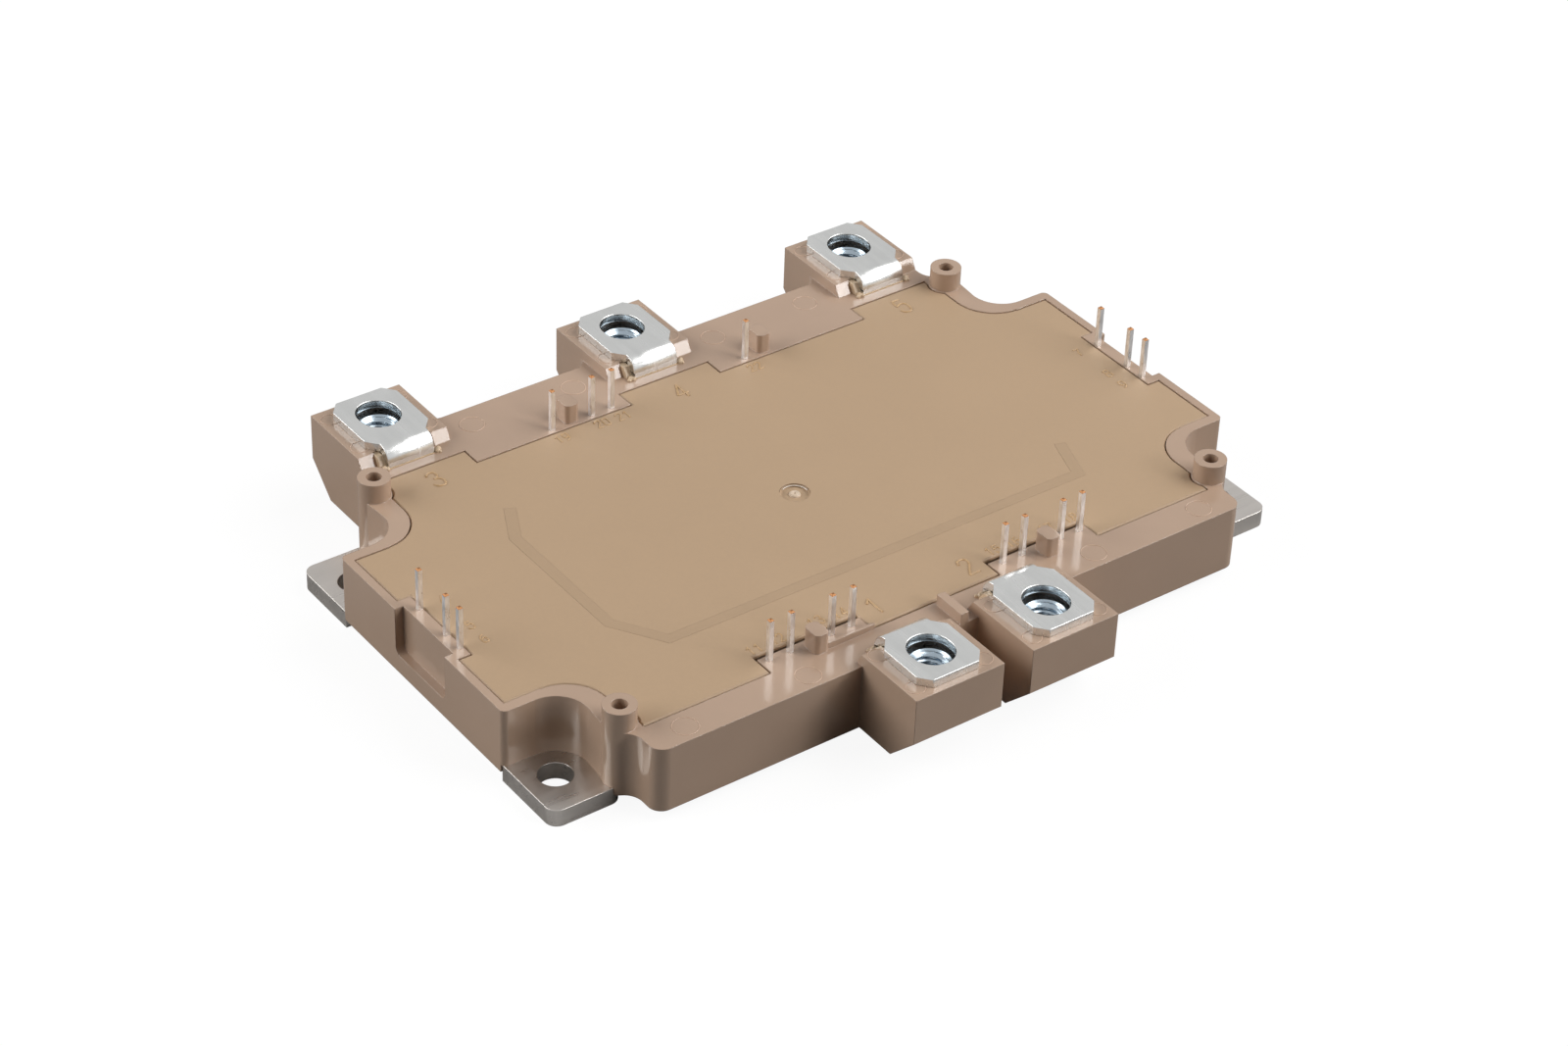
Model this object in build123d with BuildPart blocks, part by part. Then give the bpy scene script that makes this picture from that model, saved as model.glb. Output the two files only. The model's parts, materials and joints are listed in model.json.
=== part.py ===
from build123d import *
import math
import os

# A three-phase power module: a metal base plate, three soldered substrates with their chips,
# a moulded frame that holds five screw terminals and eighteen pins, and a flat lid.
# Millimetres. The origin is the centre of the base plate's underside, X runs along the module,
# +Y to the side with three terminals, and +Z up, out of the lid.

# Base plate and its four screw holes
base_length = 138.7
base_width = 71.8
base_thickness = 3.0
base_corner = 2.0
end_step = 1.2
end_step_half = 22.4
tab_length = 12.4
tab_notch_length = 5.2
tab_notch_depth = 3.6
mount_inset_x = 5.3
mount_inset_y = 7.35
mount_hole = 5.5

# Moulded frame
frame_overlap = 0.25
frame_bottom = 1.75
rim_height = 13.3
middle_inset = 13.25
screw_relief = 5.5
frame_corner = 2.3
wing_corner = 1.0
frame_throat = 3.2
neck_lean = 0.4
neck_drop = 1.3
base_fit = 0.1
side_pocket_half = 7.05
side_pocket_depth = 1.5
side_pocket_floor = 5.05
side_pocket_corner = 1.2

# Screw bosses and posts for the circuit board that goes on top
boss_outset = 0.6
boss_inset = 1.6
boss_radius = 2.65
boss_hole = 2.5
boss_hole_depth = 9.0
post_width = 2.5
post_length = 3.5
post_corner = 0.8
post_inset = 0.25

# Terminal blocks: the reaches are measured from the row of the terminal holes
dc_pitch = 22.0
ac_inset = 9.1
terminal_overhang = 13.1
front_wall_reach = 5.7
back_wall_reach = 2.1
block_reach = 7.3
block_width = 16.5
block_height = 15.25
block_bevel = 5.35
block_root = 1.5
block_fillet = 2.3
ramp_reach = 7.2
ramp_run = 1.2
first_ramp_shift = 1.2
rib_width = 1.45
guard_gap = 0.25
guard_thickness = 0.5
guard_height = 1.05

# Screw terminals
strap_thickness = 1.5
strap_width = 8.5
strap_bend = 1.0
strap_reach = 10.0
first_strap_shift = 1.8
plate_width = 11.9
plate_reach = 6.15
plate_cut = 2.0
plate_hole_width = 7.0
plate_hole_length = 7.8
slot_side = 1.05
slot_end = 0.3
foot_width = 5.6
foot_shift = 1.45
foot_inset = 2.5

# Nuts under the terminals
nut_flats = 10.0
nut_height = 5.0
nut_bore = 5.1
nut_drop = 0.9
nut_clearance = 0.1
screw_room = 7.0
screw_room_floor = 6.0

# Pins
pitch = 3.81
pin_first = 14.605
pin_inset = 1.61
pin_end_inset = 3.2
pin_side = 0.8
pin_top = 20.9
pin_point = 0.22
pin_point_taper = 45
pin_foot = 4.0
front_columns = (0, 1, 3, 4)
back_columns = (0, 7, 8, 10)
end_rows = (5.08, -2.54, -6.35)

# Lid, the seat that carries it and the room inside
lid_end_inset = 1.5
lid_wing_inset = 1.95
lid_middle_inset = 1.9
lid_shoulder_inset = 1.2
lid_front_outset = 0.85
lid_centre_outset = 0.3
lid_back_outset = 0.9
lid_arc_inset_x = 2.05
lid_arc_inset_y = 0.25
lid_arc_radius = 7.1
lid_boss_gap = 0.3
lid_thickness = 1.4
lid_gap = 0.15
lid_front_gap = 0.35
lid_wide_gap = 0.55
lid_edge = 0.25
front_notch_near = 12.3
front_notch_far = 31.5
front_notch_depth = 1.5
back_notch_near = 8.8
back_notch_gap = 0.25
back_notch_depth = 1.2
end_notch_half = 8.7
end_notch_depth = 0.6
seat_width = 1.4
ledge_width = 2.6
ledge_height = 7.0

# Hollows moulded into the underside of the frame
core_wall = 1.6
core_width = 6.6
core_pitch = 8.2
core_ceiling = 11.3

# Substrates
substrate_end_inset = 5.1
substrate_gap = 2.0
substrate_side_inset = 8.9
ceramic_thickness = 0.4
copper_thickness = 0.3
copper_margin = 1.0
copper_gap = 1.0
minus_strip = 6.0
plus_strip = 4.5
gate_pad_width = 3.5
gate_pad_length = 5.0
sensor_pad_width = 3.0
sensor_pad_length = 3.2
sensor_pad_gap = 0.8
sensor_offset = 5.3

# Chips, the sensor and the bond wires
igbt_share = 2 / 3
diode_share = 7 / 15
igbt_row_share = 11 / 26
diode_row_share = 4 / 26
chip_thickness = 0.25
sensor_width = 1.6
sensor_length = 3.4
sensor_height = 0.8
wire_side = 0.4
wire_rise = 1.8
wire_foot = 0.8
wire_pitch = 2.0
wire_landing = 1.9

# Levels and places that follow from the sizes above
half_length = base_length / 2
half_width = base_width / 2
mount_x = half_length - mount_inset_x
mount_y = half_width - mount_inset_y
frame_half = half_length + frame_overlap
wing_half = mount_y - screw_relief
neck_half = mount_x - screw_relief
middle_half = half_length - middle_inset
boss_x = middle_half + boss_outset
boss_y = half_width - boss_inset
ac_pitch = middle_half - ac_inset
back_half = ac_pitch + block_width / 2
terminal_row = half_width + terminal_overhang
front_wall = terminal_row - front_wall_reach
back_wall = terminal_row - back_wall_reach
block_face = terminal_row + block_reach
block_rise = block_height - rim_height
ramp_top = terminal_row - ramp_reach
strap_face = terminal_row - strap_reach
strap_outer = strap_bend + strap_thickness
plate_end = terminal_row + plate_reach
terminal_top = block_height + strap_thickness
foot_reach = half_width - foot_inset
pin_row = half_width - pin_inset
pin_end_row = frame_half - pin_end_inset
post_row = half_width - post_inset
nut_top = block_height - nut_drop
nut_bottom = nut_top - nut_height
lid_bottom = rim_height - lid_thickness
lid_half_length = frame_half - lid_end_inset
lid_wing_half = wing_half - lid_wing_inset
lid_middle_half = middle_half - lid_middle_inset
lid_shoulder_half = middle_half - lid_shoulder_inset
lid_front = half_width + lid_front_outset
lid_front_centre = half_width + lid_centre_outset
lid_back = half_width + lid_back_outset
lid_arc_x = mount_x - lid_arc_inset_x
lid_arc_y = mount_y - lid_arc_inset_y
front_notch_edge = pin_row - front_notch_depth
back_notch_edge = pin_row - back_notch_depth
back_notch_far = ac_pitch - block_width / 2 - back_notch_gap
end_notch_edge = pin_end_row - end_notch_depth
substrate_pitch = (middle_half - substrate_end_inset) * 2 / 3
substrate_width = substrate_pitch - substrate_gap
substrate_length = base_width - 2 * substrate_side_inset
copper_half_x = substrate_width / 2 - copper_margin
copper_half_y = substrate_length / 2 - copper_margin
copper_top_z = base_thickness + 2 * copper_thickness + ceramic_thickness
minus_top = -copper_half_y + minus_strip
plus_top = minus_top + copper_gap + plus_strip
sensor_row = plus_top + sensor_offset
chip_top_z = copper_top_z + chip_thickness
chip_x = copper_half_x / 2
igbt_side = copper_half_x * igbt_share
diode_side = copper_half_x * diode_share
igbt_row = copper_half_y * igbt_row_share
diode_row = -copper_half_y * diode_row_share

# One row for each terminal: number, centre along X, side of the module, shifts of strap and ramp
terminals = (
    (1, -dc_pitch / 2, -1, first_strap_shift, first_ramp_shift),
    (2, dc_pitch / 2, -1, 0.0, 0.0),
    (3, -ac_pitch, 1, 0.0, 0.0),
    (4, 0.0, 1, 0.0, 0.0),
    (5, ac_pitch, 1, 0.0, 0.0),
)

# One row for each pin: its place, and the direction that its foot points inside the module
front_x = [pin_first + pitch * n for n in front_columns]
pins = [(-x, -pin_row, (0, 1)) for x in reversed(front_x)]
pins += [(x, -pin_row, (0, 1)) for x in front_x]
pins += [(pin_first - pitch * n, pin_row, (0, -1)) for n in back_columns]
pins += [(-pin_end_row, y, (1, 0)) for y in end_rows]
pins += [(pin_end_row, y, (-1, 0)) for y in end_rows]

# Posts for the circuit board
posts = (
    (-(pin_first + 2 * pitch), -post_row),
    (pin_first + 2 * pitch, -post_row),
    (pin_first - 9 * pitch, post_row),
    (pin_first + pitch, post_row),
)

corners = [(sx, sy) for sx in (-1, 1) for sy in (-1, 1)]

# One row for each wall with hollows: side, wall, and the blocks or the end that they lie between
core_rows = (
    (-1, front_wall, (dc_pitch + block_width) / 2, middle_half),
    (1, back_wall, block_width / 2, ac_pitch - block_width / 2),
)

# Substrate names, their places along X and the side on which the phase output lies
phases = (("u", -substrate_pitch, -1), ("v", 0.0, 1), ("w", substrate_pitch, 1))
sensor_phase = "w"

# How near a corner has to lie to a line to be found on it
tiny = 0.01

os.makedirs("parts", exist_ok=True)


def patch(x0, x1, y0, y1, mode=Mode.ADD):
    """A rectangle between two pairs of edges, inside a sketch."""
    with Locations(((x0 + x1) / 2, (y0 + y1) / 2)):
        Rectangle(abs(x1 - x0), abs(y1 - y0), mode=mode)


def prism(x0, x1, y0, y1, z0, z1, mode=Mode.ADD):
    """A rectangular prism between three pairs of faces, inside a part."""
    with Locations(((x0 + x1) / 2, (y0 + y1) / 2, (z0 + z1) / 2)):
        Box(abs(x1 - x0), abs(y1 - y0), abs(z1 - z0), mode=mode)


def four(x, y):
    """The four places that mirror one point about both axes."""
    return [(sx * x, sy * y) for sx, sy in corners]


def save(builder, name):
    """Name a finished piece and write it to its own file."""
    builder.part.label = name
    export_step(builder.part, f"parts/{name}.step")


def base_outline(grow):
    """The base plate's outline, set back at its ends and beside its tabs, grown by a clearance."""
    with BuildSketch() as outline:
        Rectangle(base_length + 2 * grow, base_width + 2 * grow)
        tab_end = half_length - tab_length - grow
        notch_end = half_length - tab_length - tab_notch_length + grow
        notch_bottom = half_width - tab_notch_depth + grow
        for sx, sy in corners:
            patch(sx * notch_end, sx * tab_end, sy * notch_bottom, sy * base_width, Mode.SUBTRACT)
        tab_corners = [
            v
            for v in outline.vertices()
            if abs(v.X) > notch_end + base_corner and abs(v.Y) > half_width - base_corner
        ]
        fillet(tab_corners, base_corner + grow)
        for side in (-1, 1):
            outer = side * (base_length + 4 * grow) / 2
            inner = side * (half_length - end_step + grow)
            patch(inner, outer, -end_step_half + grow, end_step_half - grow, mode=Mode.SUBTRACT)
    return outline.sketch


def lid_outline(inset):
    """The lid's outline, or with an inset, the seat and the room inside that follow it."""
    with BuildSketch() as outline:
        length = 2 * (lid_half_length - inset)
        Rectangle(length, 2 * (lid_wing_half - inset))
        Rectangle(2 * lid_arc_x, 2 * lid_arc_y)
        with Locations(*four(lid_arc_x, lid_arc_y)):
            Circle(lid_arc_radius + inset, mode=Mode.SUBTRACT)
        Rectangle(2 * (lid_shoulder_half - inset), 2 * lid_arc_y)
        half = lid_middle_half - inset
        patch(-half, half, -lid_front + inset, lid_back - inset)
        shoulder = lid_shoulder_half - inset
        patch(-shoulder, shoulder, -boss_y, boss_y)
        with Locations(*four(boss_x, boss_y)):
            Circle(boss_radius + lid_boss_gap + inset, mode=Mode.SUBTRACT)
        for side in (-1, 1):
            near = side * (front_notch_near - inset)
            far = side * (front_notch_far + inset)
            patch(near, far, -front_notch_edge + inset, -front_wall, mode=Mode.SUBTRACT)
            near = side * (back_notch_near - inset)
            far = side * (back_notch_far + inset)
            patch(near, far, back_notch_edge - inset, back_wall, mode=Mode.SUBTRACT)
            edge = side * (end_notch_edge - inset)
            notch = end_notch_half + inset
            patch(edge, side * frame_half, -notch, notch, mode=Mode.SUBTRACT)
        centre = front_notch_near - inset
        patch(-centre, centre, -lid_front_centre + inset, -front_wall, mode=Mode.SUBTRACT)
    return outline.sketch


def arch(start, end, plane, offset):
    """A bond wire: a thin arched ribbon between two feet, given in a vertical plane."""
    s0, z0 = start
    s1, z1 = end
    way = 1 if s1 > s0 else -1
    length = abs(s1 - s0)
    crest = max(z0, z1) + wire_rise
    lower = [
        (s0, z0),
        (s0 + way * wire_foot, z0),
        (s0 + way * length / 2, crest - wire_side),
        (s1 - way * wire_foot, z1),
        (s1, z1),
    ]
    upper = [(s, z + wire_side) for s, z in reversed(lower)]
    with BuildSketch(plane.offset(offset)) as ribbon:
        with BuildLine():
            Polyline(*lower, *upper, close=True)
        make_face()
    extrude(ribbon.sketch, amount=wire_side / 2, both=True)


# Base plate: a flat plate with a tab at each corner, outside the frame, for its screw
base_shape = base_outline(0)
with BuildPart() as base_plate:
    add(base_shape)
    extrude(amount=base_thickness)
    with Locations(*[(x, y, base_thickness) for x, y in four(mount_x, mount_y)]):
        Hole(mount_hole / 2)
save(base_plate, "base_plate")


def make_terminal(x, side, strap_shift):
    """A screw terminal: a punched plate, bent down into the frame to a foot for bond wires."""
    face = strap_face + strap_shift
    tangent = face + strap_outer
    half = plate_width / 2
    neck = strap_width / 2
    foot_x = x - math.copysign(foot_shift, x) if side < 0 else x
    with BuildPart() as terminal:
        with BuildSketch(Plane.XY.offset(block_height)):
            with BuildLine():
                Polyline(
                    (x - neck, side * tangent),
                    (x - half, side * (tangent + plate_cut)),
                    (x - half, side * (plate_end - plate_cut)),
                    (x - neck, side * plate_end),
                    (x + neck, side * plate_end),
                    (x + half, side * (plate_end - plate_cut)),
                    (x + half, side * (tangent + plate_cut)),
                    (x + neck, side * tangent),
                    close=True,
                )
            make_face()
            with Locations((x, side * terminal_row)):
                SlotOverall(plate_hole_length, plate_hole_width, rotation=90, mode=Mode.SUBTRACT)
        extrude(amount=strap_thickness)
        with BuildSketch(Plane.YZ.offset(x)) as bend:
            with BuildLine():
                Polyline(
                    (side * face, ledge_height),
                    (side * face, terminal_top),
                    (side * (tangent + strap_thickness), terminal_top),
                    (side * (tangent + strap_thickness), block_height),
                    (side * (face + strap_thickness), block_height),
                    (side * (face + strap_thickness), ledge_height),
                    close=True,
                )
            make_face()
            outside = bend.vertices().sort_by_distance((side * face, terminal_top))[0]
            fillet(outside, strap_outer)
            inside = bend.vertices().sort_by_distance((side * (face + strap_thickness), block_height))[0]
            fillet(inside, strap_bend)
        extrude(amount=neck, both=True)
        prism(
            foot_x - foot_width / 2,
            foot_x + foot_width / 2,
            side * foot_reach,
            side * (face + strap_thickness),
            ledge_height,
            ledge_height + strap_thickness,
        )
    return terminal


terminal_parts = []
for number, x, side, strap_shift, ramp_shift in terminals:
    terminal_parts.append(make_terminal(x, side, strap_shift))
    save(terminal_parts[-1], f"terminal_{number}")


def make_nut(x, side):
    """A hexagon nut that lies loose in its pocket below a terminal plate."""
    with BuildPart() as nut:
        with BuildSketch(Plane.XY.offset(nut_bottom)):
            with Locations((x, side * terminal_row)):
                RegularPolygon(nut_flats / 2, 6, major_radius=False)
                Circle(nut_bore / 2, mode=Mode.SUBTRACT)
        extrude(amount=nut_height)
    return nut


for number, x, side, strap_shift, ramp_shift in terminals:
    save(make_nut(x, side), f"terminal_nut_{number}")


def make_pin(x, y, way):
    """A square pin with a tapered tip, bent at its bottom into a foot for a bond wire."""
    dx, dy = way
    with BuildPart() as pin:
        with BuildSketch(Plane.XY.offset(ledge_height)):
            with Locations((x, y)):
                Rectangle(pin_side, pin_side)
        extrude(amount=pin_top - pin_point - ledge_height)
        extrude(pin.faces().sort_by(Axis.Z)[-1], amount=pin_point, taper=pin_point_taper)
        with Locations((x + dx * pin_foot / 2, y + dy * pin_foot / 2, ledge_height + pin_side / 2)):
            Box(pin_side + abs(dx) * pin_foot, pin_side + abs(dy) * pin_foot, pin_side)
    return pin


pin_parts = []
for index, (x, y, way) in enumerate(pins, start=1):
    pin_parts.append(make_pin(x, y, way))
    save(pin_parts[-1], f"pin_{index:02d}")


# Frame outline: a long middle, two narrower wings, and a round recess over each screw
with BuildSketch() as frame_outline:
    patch(-middle_half, middle_half, -front_wall, 0)
    patch(-back_half, back_half, 0, back_wall)
    for number, x, side, strap_shift, ramp_shift in terminals:
        if side > 0:
            patch(x - block_width / 2, x + block_width / 2, 0, back_wall + block_root + block_fillet)
    Rectangle(2 * frame_half, 2 * wing_half)
    Rectangle(2 * mount_x, 2 * mount_y)
    for sx, sy in corners:
        with BuildLine():
            Polyline(
                (0, 0),
                (sx * neck_half, 0),
                (sx * neck_half, sy * mount_y),
                (sx * (neck_half + neck_lean), sy * (boss_y - neck_drop)),
                (sx * boss_x, sy * boss_y),
                (0, sy * boss_y),
                close=True,
            )
        make_face()
    with Locations(*four(boss_x, boss_y)):
        Circle(boss_radius)
    with Locations(*four(mount_x, mount_y)):
        Circle(screw_relief, mode=Mode.SUBTRACT)
    front_corners = [v for v in frame_outline.vertices() if abs(v.Y + front_wall) < tiny]
    fillet(front_corners, frame_corner)
    wing_corners = [v for v in frame_outline.vertices() if abs(abs(v.X) - frame_half) < tiny]
    fillet(wing_corners, wing_corner)
    block_corners = [
        v for v in frame_outline.vertices() if abs(v.Y - back_wall) < tiny and abs(v.X) < back_half - tiny
    ]
    fillet(block_corners, block_fillet)
    throats = [
        v
        for v in frame_outline.vertices()
        if back_half - tiny < abs(v.X) < middle_half + tiny
        and boss_y < abs(v.Y) < boss_y + boss_radius
    ]
    fillet(throats, frame_throat)

recess_shape = lid_outline(-lid_gap)
room_shape = lid_outline(seat_width)
well_shape = lid_outline(seat_width + ledge_width)
rebate_shape = base_outline(base_fit)

with BuildPart() as housing:
    # The lowest layer leaves room for the base plate, which is glued in
    with BuildSketch(Plane.XY.offset(frame_bottom)):
        add(frame_outline.sketch)
        add(rebate_shape, mode=Mode.SUBTRACT)
        for sx, sy in corners:
            patch(
                sx * (half_length - end_step),
                sx * base_length,
                sy * (end_step_half - base_fit),
                sy * base_width,
                mode=Mode.SUBTRACT,
            )
    extrude(amount=base_thickness - frame_bottom)
    with BuildSketch(Plane.XY.offset(base_thickness)):
        add(frame_outline.sketch)
    extrude(amount=rim_height - base_thickness)

    # Terminal blocks: ramped at the inner end and bevelled below at the outer end
    for number, x, side, strap_shift, ramp_shift in terminals:
        root = (front_wall if side < 0 else back_wall) - block_root
        ramp = ramp_top + ramp_shift
        with BuildSketch(Plane.YZ.offset(x)):
            with BuildLine():
                Polyline(
                    (side * (ramp - ramp_run), rim_height),
                    (side * ramp, block_height),
                    (side * block_face, block_height),
                    (side * block_face, frame_bottom + block_bevel),
                    (side * (block_face - block_bevel), frame_bottom),
                    (side * root, frame_bottom),
                    (side * root, rim_height),
                    close=True,
                )
            make_face()
        extrude(amount=block_width / 2, both=True)

    # Rib between the two front terminals, and the low guard wall in front of two pins
    rib_start = lid_front + lid_wide_gap
    prism(-rib_width / 2, rib_width / 2, -rib_start, -front_wall, rim_height, block_height)
    guard_start = posts[0][0] + post_width / 2 - post_corner
    guard_row = lid_front + guard_gap
    prism(
        guard_start,
        -front_notch_near,
        -guard_row,
        -guard_row + guard_thickness,
        rim_height,
        rim_height + guard_height,
    )

    # Bosses and posts that carry the circuit board, level with the terminals
    with BuildSketch(Plane.XY.offset(rim_height)):
        with Locations(*four(boss_x, boss_y)):
            Circle(boss_radius)
        with Locations(*posts):
            RectangleRounded(post_width, post_length, post_corner)
    extrude(amount=terminal_top - rim_height)
    with Locations(*[(x, y, terminal_top) for x, y in four(boss_x, boss_y)]):
        Hole(boss_hole / 2, depth=boss_hole_depth)

    # Recess that takes the lid, the room below it, and the ledge that carries the feet
    with BuildSketch(Plane.XY.offset(lid_bottom)):
        add(recess_shape)
        for side in (-1, 1):
            patch(
                side * front_notch_near,
                side * front_notch_far,
                -front_notch_edge,
                -front_notch_edge - lid_wide_gap,
            )
            patch(
                side * front_notch_far,
                side * lid_middle_half,
                -lid_front,
                -lid_front - lid_front_gap,
            )
        patch(
            -front_notch_near,
            front_notch_near,
            -lid_front_centre,
            -lid_front_centre - lid_wide_gap,
        )
    extrude(amount=lid_thickness, mode=Mode.SUBTRACT)
    with BuildSketch(Plane.XY.offset(ledge_height)):
        add(room_shape)
    extrude(amount=lid_bottom - ledge_height, mode=Mode.SUBTRACT)
    with BuildSketch(Plane.XY.offset(base_thickness)):
        add(well_shape)
    extrude(amount=ledge_height - base_thickness, mode=Mode.SUBTRACT)

    # Shallow pocket down the middle of each end wall
    for side in (-1, 1):
        with BuildSketch(Plane.YZ.offset(side * frame_half)) as pocket:
            patch(-side_pocket_half, side_pocket_half, side_pocket_floor, rim_height)
            fillet(pocket.vertices().group_by(Axis.Y)[0], side_pocket_corner)
        extrude(amount=-side * side_pocket_depth, mode=Mode.SUBTRACT)

    # Pockets for the nuts, with room below for the screw ends, and slots for the straps
    for number, x, side, strap_shift, ramp_shift in terminals:
        with BuildSketch(Plane.XY.offset(nut_bottom)):
            with Locations((x, side * terminal_row)):
                RegularPolygon(nut_flats / 2 + nut_clearance, 6, major_radius=False)
        extrude(amount=block_height - nut_bottom, mode=Mode.SUBTRACT)
        with Locations((x, side * terminal_row, nut_bottom)):
            Hole(screw_room / 2, depth=nut_bottom - screw_room_floor)
        prism(
            x - strap_width / 2 - slot_side,
            x + strap_width / 2 + slot_side,
            side * (ramp_top + ramp_shift - ramp_run),
            side * (ramp_top + ramp_shift + slot_end),
            rim_height,
            block_height,
            mode=Mode.SUBTRACT,
        )

    # Hollows from below that keep the long walls even in thickness
    with BuildSketch(Plane.XY.offset(frame_bottom)):
        for side, wall, start, end in core_rows:
            inner = half_width + base_fit + core_wall
            outer = wall - core_wall
            count = int((end - start - core_wall) / core_pitch)
            for hand in (-1, 1):
                with Locations((hand * (start + end) / 2, side * (inner + outer) / 2)):
                    with GridLocations(core_pitch, 1, count, 1):
                        Rectangle(core_width, outer - inner)
    extrude(amount=core_ceiling - frame_bottom, mode=Mode.SUBTRACT)

    # The metal that is moulded in
    add([piece.part for piece in terminal_parts + pin_parts], mode=Mode.SUBTRACT)
save(housing, "housing")

lid_shape = lid_outline(0)
with BuildPart() as lid:
    with BuildSketch(Plane.XY.offset(lid_bottom)):
        add(lid_shape)
    extrude(amount=lid_thickness)
    chamfer(lid.faces().sort_by(Axis.Z)[-1].edges(), lid_edge)
save(lid, "lid")


def slab(x, y, z, length_x, length_y, thickness):
    """A thin rectangular piece that lies flat on level z."""
    with Locations((x, y, z + thickness / 2)):
        Box(length_x, length_y, thickness)


def along_x(y, x0, z0, x1, z1):
    """A bond wire that runs along X."""
    arch((x0, z0), (x1, z1), Plane.XZ, -y)


def along_y(x, y0, z0, y1, z1):
    """A bond wire that runs along Y."""
    arch((y0, z0), (y1, z1), Plane.YZ, x)


for phase, middle, hand in phases:
    # Ceramic with its two copper faces
    with BuildPart() as copper_back:
        slab(middle, 0, base_thickness, 2 * copper_half_x, 2 * copper_half_y, copper_thickness)
    save(copper_back, f"copper_back_{phase}")
    with BuildPart() as ceramic:
        slab(
            middle,
            0,
            base_thickness + copper_thickness,
            substrate_width,
            substrate_length,
            ceramic_thickness,
        )
    save(ceramic, f"ceramic_{phase}")
    with BuildPart() as copper_top:
        with BuildSketch(Plane((middle, 0, copper_top_z - copper_thickness))):
            left = -hand * copper_half_x
            right = hand * copper_half_x
            patch(left, right, -copper_half_y, minus_top)
            patch(left, right, minus_top + copper_gap, plus_top)
            patch(left, -hand * copper_gap / 2, minus_top + copper_gap, copper_half_y)
            patch(hand * copper_gap / 2, right, plus_top + copper_gap, copper_half_y)
            for end in (-1, 1):
                outer = end * copper_half_x
                inner = end * (copper_half_x - gate_pad_width)
                low = copper_half_y - gate_pad_length
                patch(inner - end * copper_gap, outer, low - copper_gap, copper_half_y, Mode.SUBTRACT)
                patch(inner, outer, low, copper_half_y)
            if phase == sensor_phase:
                inner = hand * (copper_half_x - sensor_pad_width)
                high = sensor_row + sensor_pad_gap / 2 + sensor_pad_length
                patch(inner - hand * copper_gap, right, plus_top, high + copper_gap, Mode.SUBTRACT)
                for end in (-1, 1):
                    near = sensor_row + end * sensor_pad_gap / 2
                    patch(inner, right, near, near + end * sensor_pad_length)
        extrude(amount=copper_thickness)
    save(copper_top, f"copper_top_{phase}")

    # The two switches of the phase, each a transistor chip and its diode
    for name, way in (("high", -1), ("low", 1)):
        with BuildPart() as igbt_chip:
            chip = middle + hand * way * chip_x
            slab(chip, igbt_row, copper_top_z, igbt_side, igbt_side, chip_thickness)
        save(igbt_chip, f"igbt_chip_{phase}_{name}")
        with BuildPart() as diode_chip:
            chip = middle + hand * way * chip_x
            slab(chip, diode_row, copper_top_z, diode_side, diode_side, chip_thickness)
        save(diode_chip, f"diode_chip_{phase}_{name}")

# Temperature sensor across its two pads
with BuildPart() as thermistor:
    slab(
        substrate_pitch + copper_half_x - sensor_pad_width / 2,
        sensor_row,
        copper_top_z,
        sensor_width,
        sensor_length,
        sensor_height,
    )
save(thermistor, "thermistor")

# Bond wires of each phase: across the chips, to the gates and out to the terminal
for phase, middle, hand in phases:
    high_x = middle - hand * chip_x
    low_x = middle + hand * chip_x
    landing = middle + hand * wire_landing
    with BuildPart() as bond_wires:
        for n in range(4):
            shift = (n - 1.5) * wire_pitch
            along_x(igbt_row + shift, high_x, chip_top_z, landing, copper_top_z)
            along_y(low_x + shift, igbt_row, chip_top_z, diode_row + wire_pitch, chip_top_z)
        for n in range(3):
            shift = (n - 1) * wire_pitch
            along_x(diode_row + shift, high_x, chip_top_z, landing, copper_top_z)
            along_y(low_x + shift, diode_row - wire_pitch, chip_top_z, minus_top - wire_pitch, copper_top_z)
        for switch_x, way in ((high_x, -hand), (low_x, hand)):
            gate_x = switch_x + way * (igbt_side / 2 - wire_foot)
            gate_y = igbt_row + igbt_side / 2 - wire_foot
            along_y(gate_x, gate_y, chip_top_z, copper_half_y - gate_pad_length / 2, copper_top_z)
    save(bond_wires, f"bond_wires_{phase}")
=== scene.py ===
import json
import math

import bmesh
import bpy
from mathutils import Matrix, Vector
from mathutils import noise as noise_field


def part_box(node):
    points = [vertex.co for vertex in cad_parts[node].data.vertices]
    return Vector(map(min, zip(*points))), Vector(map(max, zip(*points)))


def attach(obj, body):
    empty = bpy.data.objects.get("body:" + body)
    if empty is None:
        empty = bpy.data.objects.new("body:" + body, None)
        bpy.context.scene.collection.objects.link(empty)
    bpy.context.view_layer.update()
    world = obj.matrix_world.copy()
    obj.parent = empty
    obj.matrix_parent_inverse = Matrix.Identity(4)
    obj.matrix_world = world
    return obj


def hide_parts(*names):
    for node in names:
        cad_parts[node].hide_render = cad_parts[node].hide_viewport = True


# Looks of a flat power module: moulded plastic, plated metal, threaded nuts and moulded marks

# Blender works in metres. A length written as n * MM is in millimetres, and so are the bare
# lengths of profiles, strokes, rings and flash, which their functions multiply by MM.
MM = 0.001

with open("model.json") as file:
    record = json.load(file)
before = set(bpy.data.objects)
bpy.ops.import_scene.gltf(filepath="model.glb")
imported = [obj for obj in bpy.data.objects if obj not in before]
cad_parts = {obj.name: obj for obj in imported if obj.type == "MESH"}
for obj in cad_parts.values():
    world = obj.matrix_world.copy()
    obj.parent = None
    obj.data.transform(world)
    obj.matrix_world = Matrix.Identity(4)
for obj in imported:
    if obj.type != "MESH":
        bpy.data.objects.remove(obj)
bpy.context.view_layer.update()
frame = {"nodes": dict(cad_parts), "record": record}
nodes = frame["nodes"]
scene = bpy.context.scene


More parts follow.
